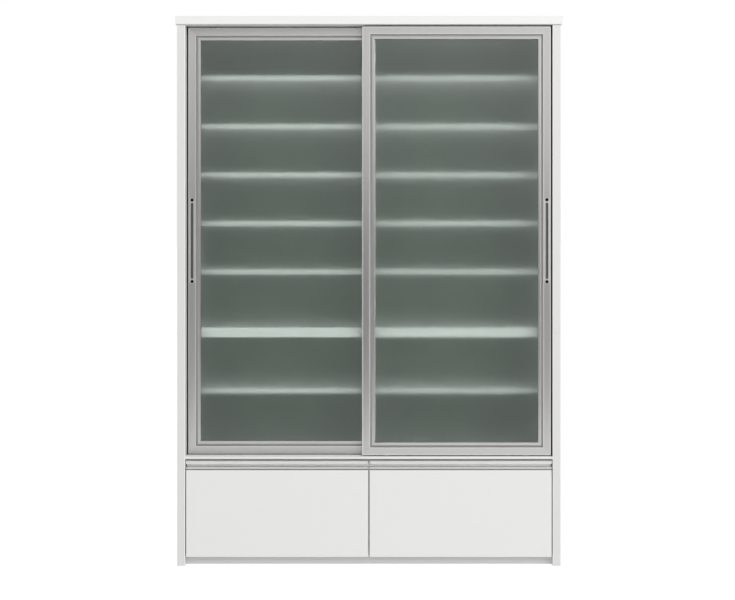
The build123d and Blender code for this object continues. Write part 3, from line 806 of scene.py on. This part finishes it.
def plug(name, x, y, z):
    """A domed plug that rises from y towards the front, with a shallow dish."""
    bpy.ops.object.select_all(action="DESELECT")
    bpy.ops.mesh.primitive_cylinder_add(vertices=32, radius=PLUG_RADIUS, depth=PLUG_RISE,
                                        location=(x, y - PLUG_RISE / 2, z),
                                        rotation=(math.pi / 2, 0, 0))
    piece = settle(bpy.context.object, name)
    pick(piece, "FACE", lambda centre, normal: normal.y < -FACING)
    bpy.ops.mesh.inset(thickness=DISH_RIM)
    bpy.ops.mesh.inset(thickness=DISH_SLOPE, depth=-DISH_DEPTH)
    done()
    round_edges(piece, PLUG_ROUND, 3, lambda middle, along: middle.y < y - PLUG_RISE + NEAR / 2
                and math.hypot(middle.x - x, middle.z - z) > PLUG_RADIUS - 2 * NEAR)
    smooth(piece, degrees=50)
    return piece


# %% Flush pulls
PLATE_LENGTH, PLATE_WIDTH, PLATE_THICKNESS = 313 * MM, 20 * MM, 1.2 * MM
PLATE_RADIUS = 0.5 * MM
SLOT_LENGTH, SLOT_WIDTH, SLOT_DEPTH = 277 * MM, 10 * MM, 8 * MM
INSIDE_SHARE = 0.6  # share of the slot's width, from its middle, that holds its walls
for door in DOORS:
    pull_low, pull_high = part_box(f"{door}_pull")
    centre = (pull_low + pull_high) / 2
    face = pull_low.y + PLATE_THICKNESS
    plate = rounded_bar("plate", centre, PLATE_WIDTH, PLATE_LENGTH, pull_low.y, face)
    round_edges(plate, PLATE_RADIUS, 2, lambda middle, along: middle.y < pull_low.y + NEAR / 10)
    cup = rounded_bar("cup", centre, MOUTH_WIDTH, MOUTH_LENGTH, face, pull_high.y)
    for piece in (plate, cup):
        carve(piece, rounded_bar("slot", centre, SLOT_WIDTH, SLOT_LENGTH, pull_low.y - MM,
                                 pull_low.y + SLOT_DEPTH))
    pull = join([plate, cup], f"{door}_pull_metal")
    smooth(pull, CURVE_ANGLE)
    # the plate in the lighter edge tone, a painted highlight, and the slot's inside darker, a
    # painted shade
    dress(pull, painted_highlight_metal, door, "satin_aluminium", [f"{door}_pull"])
    also(pull, painted_shade_slot_metal, lambda centre, normal: centre.y > pull_low.y + 3 * NEAR
         and abs(centre.x - (pull_low.x + pull_high.x) / 2) < INSIDE_SHARE * SLOT_WIDTH)
    for word, end in (("lower", -1), ("upper", 1)):
        z = centre.z + end * PLUG_SPACING / 2
        piece = plug(f"{door}_{word}_plug", centre.x, pull_low.y, z)
        dress(piece, black_plastic, door, stands_for=[f"{door}_pull_plugs"])
    print(f"{door} pull: {(pull_high.z - pull_low.z) / MM:.0f} mm long")

# %% [markdown]
# ## Drawers
#
# A drawer front is a laminate board under a full-width aluminium handle. The handle is another
# extrusion: a small step that leaves a shadow line over the board, a lower lip, a space for the
# fingers and a face that they hook behind. It grows from its lowest part upwards, one push at a
# time. The handle has a lighter tone than the frames, a painted light, its finger space a much
# lighter one, also painted light, and its joint a darker one, a painted shade. The front's
# rounded edges get a lighter white, a painted highlight. The boxes behind the fronts keep their
# ready-made shape, as merging one would weld its floor to its walls where they meet in the
# grooves.

# %% Handle section
JOINT_HEIGHT, JOINT_DEPTH = 5.5 * MM, 7 * MM
LOWER_LIP = 5.6 * MM
FINGER_HEIGHT, FINGER_DEPTH = 11.4 * MM, 16.5 * MM
HANDLE_WALL = 3 * MM
OUTER_RADIUS, INNER_RADIUS = 1.8 * MM, 1.2 * MM
TONGUE = 6 * MM  # the part inside the board's top edge, left out as it can't be seen


def handle_length(name, low, high):
    """The handle between two ends, with low at its front lower corner and high at its rear top."""
    x = (low.x - SPARE, high.x + SPARE)
    lip_top = low.z + JOINT_HEIGHT + LOWER_LIP
    finger_top = lip_top + FINGER_HEIGHT
    wall = low.y + FINGER_DEPTH
    piece = block(name, (x[0], low.y + JOINT_DEPTH, low.z), (x[1], high.y, lip_top))
    cut(piece, (0, 0, low.z + JOINT_HEIGHT), (0, 0, 1))
    push(piece, lambda centre, normal: normal.y < -FACING and centre.z > low.z + JOINT_HEIGHT,
         (0, -JOINT_DEPTH, 0))
    cut(piece, (0, wall, 0), (0, 1, 0))
    top = high.z - HANDLE_WALL
    for step in (top - lip_top, HANDLE_WALL):
        push(piece, lambda centre, normal: normal.z > FACING and centre.y > wall, (0, 0, step))
    push(piece, lambda centre, normal: normal.y < -FACING and centre.z > top,
         (0, -FINGER_DEPTH, 0))
    cut(piece, (0, low.y + HANDLE_WALL, 0), (0, 1, 0))
    push(piece, lambda centre, normal: normal.z < -FACING and centre.z > finger_top
         and centre.y < low.y + HANDLE_WALL, (0, 0, finger_top - top))

    for upper, lower in ((high.z, finger_top), (lip_top, low.z + JOINT_HEIGHT)):
        round_edges(piece, OUTER_RADIUS, 4, long_edge("x", y=low.y, z=upper))
        round_edges(piece, INNER_RADIUS, 3, long_edge("x", y=low.y, z=lower))
    for end, keep in ((low.x, -1), (high.x, 1)):
        cut(piece, (end, 0, 0), (keep, 0, 0), keep="BEHIND")
    smooth(piece, CURVE_ANGLE)
    return piece


# %% Fronts and handles
PANEL_RADIUS = 2.5 * MM
UNDER_HANDLE = 5 * MM  # depth of the strip at a front's top that keeps its square edge
for word in ("left", "right"):
    drawer = f"{word}_drawer"
    low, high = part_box(f"{drawer}_front")
    panel = block(f"{drawer}_panel", low, high)
    round_edges(panel, SOFT_RADIUS, 1, lambda middle, along: middle.y > high.y - MM
                or middle.z > high.z - NEAR)
    round_edges(panel, PANEL_RADIUS, 5, lambda middle, along: middle.y < low.y + NEAR
                and middle.z < high.z - UNDER_HANDLE)
    smooth(panel)
    dress(panel, laminate, drawer, stands_for=[f"{drawer}_front"])
    # a lighter white on the rounded edges: painted highlight
    also(panel, painted_light_laminate, lambda centre, normal: low.y < centre.y < low.y + PANEL_RADIUS
         and TILTED - 1 < normal.y < -TILTED and centre.z < high.z - MM)
    low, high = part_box(f"{drawer}_handle")
    handle = handle_length(f"{drawer}_handle_metal", low + Vector((0, 0, TONGUE)), high)
    # the handle in a lighter tone: painted light
    dress(handle, painted_light_handle_metal, drawer, "satin_aluminium", [f"{drawer}_handle"])
    lip_middle = low.z + TONGUE + JOINT_HEIGHT + LOWER_LIP / 2
    # the finger space lighter, a painted light, and the joint darker, a painted shade
    for shade, side in ((painted_light_finger_metal, 1), (painted_shade_joint_metal, -1)):
        also(handle, shade, lambda centre, normal: low.y + HANDLE_WALL < centre.y < high.y - MM
             and side * (centre.z - lip_middle) > 0)
    for node, body in ((f"{drawer}_inner_members", drawer),
                       (f"{drawer}_middle_members", f"{word}_slide_middle")):
        dress(softened(node, THIN_RADIUS), steel, body, stands_for=[node])
    print(f"{drawer} handle: {(high.x - low.x) / MM:.0f} mm long")
dress(softened("slide_outer_members", THIN_RADIUS), steel, stands_for=["slide_outer_members"])

# %% [markdown]
# ## Camera, light and floor
#
# The cabinet stands in plain studio light: a broad lamp high in front and a little to the
# right, a weaker one from the right and an even sky. Satin metal doesn't mirror the broad lamp.
# It mirrors three dark flags instead, which show in gloss alone: one on the left, one behind
# the camera and a low one. They stand for the darker side of a room, and shade the uprights
# most at mid height. The sky is white to the camera, to mirrors and through glass, and weaker
# as a light, so that white board keeps its shade. The floor does the same with a little glow of
# its own, which leaves the cabinet's shadow on it.

# %% Camera
EYE_HEIGHT, EYE_DISTANCE = 1.1766, 4.22
LENS = 54.17  # mm
IMAGE_WIDTH = 735
SHIFT = (-1.4, -59)  # pixels by which the picture is moved, as a view camera does
FAR = 1000
bpy.ops.object.camera_add(location=(0, -EYE_DISTANCE, EYE_HEIGHT), rotation=(math.pi / 2, 0, 0))
camera = bpy.context.object
camera.data.lens = LENS
camera.data.shift_x, camera.data.shift_y = (pixels / IMAGE_WIDTH for pixels in SHIFT)
camera.data.clip_end = FAR
bpy.context.scene.camera = camera
print(f"camera: {EYE_DISTANCE} m in front, {EYE_HEIGHT} m high, {LENS} mm lens")

# %% Lamps
MIDDLE = Vector((0, 0, 1.0))


def lamp(name, place, size, power, mirrored):
    """A square soft lamp that faces the middle of the cabinet, and shows in metal if mirrored."""
    bpy.ops.object.light_add(type="AREA", location=place)
    light = bpy.context.object
    light.name = name
    light.data.size = size
    light.data.energy = power
    aim = MIDDLE - Vector(place)
    light.rotation_euler = aim.to_track_quat("-Z", "Y").to_euler()
    light.visible_glossy = mirrored


lamp("key_lamp", (2.0, -9.0, 9.0), size=6.0, power=560, mirrored=False)
lamp("fill_lamp", (5.0, -5.5, 3.5), size=3.0, power=60, mirrored=True)


# %% Sky
def seen_directly(tree):
    """A socket that is 1 for camera, mirror and glass rays and 0 for light."""
    path = tree.nodes.new("ShaderNodeLightPath")
    total = path.outputs["Is Camera Ray"]
    for word in ("Is Glossy Ray", "Is Transmission Ray"):
        either = tree.nodes.new("ShaderNodeMath")
        either.operation = "MAXIMUM"
        tree.links.new(total, either.inputs[0])
        tree.links.new(path.outputs[word], either.inputs[1])
        total = either.outputs[0]
    return total


SKY_LIGHT, SKY_SEEN = 0.62, 1.0
world = bpy.data.worlds.new("studio")
bpy.context.scene.world = world
world.use_nodes = True
sky = world.node_tree.nodes["Background"]
sky.inputs["Color"].default_value = (1, 1, 1, 1)
level = world.node_tree.nodes.new("ShaderNodeMapRange")
level.inputs["To Min"].default_value = SKY_LIGHT
level.inputs["To Max"].default_value = SKY_SEEN
world.node_tree.links.new(seen_directly(world.node_tree), level.inputs["Value"])
world.node_tree.links.new(level.outputs["Result"], sky.inputs["Strength"])

# %% Floor
FLOOR_SIZE = 400
FLOOR_GLOW = 0.6


def matt(name, grey):
    """A plain matt grey material, with its node tree and its shader."""
    material = bpy.data.materials.new(name)
    material.use_nodes = True
    shader = material.node_tree.nodes["Principled BSDF"]
    shader.inputs["Base Color"].default_value = (grey, grey, grey, 1)
    shader.inputs["Roughness"].default_value = 0.9
    return material, material.node_tree, shader


floor_finish, floor_tree, floor_shader = matt("floor_white", 0.8)
floor_shader.inputs["Emission Color"].default_value = (1, 1, 1, 1)
glow = floor_tree.nodes.new("ShaderNodeMath")
glow.operation = "MULTIPLY"
glow.inputs[1].default_value = FLOOR_GLOW
floor_tree.links.new(seen_directly(floor_tree), glow.inputs[0])
floor_tree.links.new(glow.outputs[0], floor_shader.inputs["Emission Strength"])
bpy.ops.mesh.primitive_plane_add(size=FLOOR_SIZE)
floor = bpy.context.object
floor.name = "studio_floor"
floor.data.materials.append(floor_finish)

# %% Flags
flag_finish = matt("flag_black", 0.05)[0]


def flag(name, place, width, height):
    """A dark upright screen that shows in gloss alone, so it shades reflections only."""
    bpy.ops.mesh.primitive_plane_add(size=1, location=place, rotation=(math.pi / 2, 0, 0))
    screen = bpy.context.object
    screen.scale = (width, height, 1.0)
    settle(screen, name)
    screen.data.materials.append(flag_finish)
    for sight in ("camera", "diffuse", "transmission", "shadow"):
        setattr(screen, f"visible_{sight}", False)


flag("left_flag", (-3.7, -5.0, 1.8), width=3.4, height=2.4)
flag("rear_flag", (0.2, -5.2, 0.8), width=4.0, height=1.6)
flag("low_flag", (0.2, -3.4, 0.13), width=4.0, height=0.26)

# %% View
bpy.context.scene.view_settings.view_transform = "Standard"
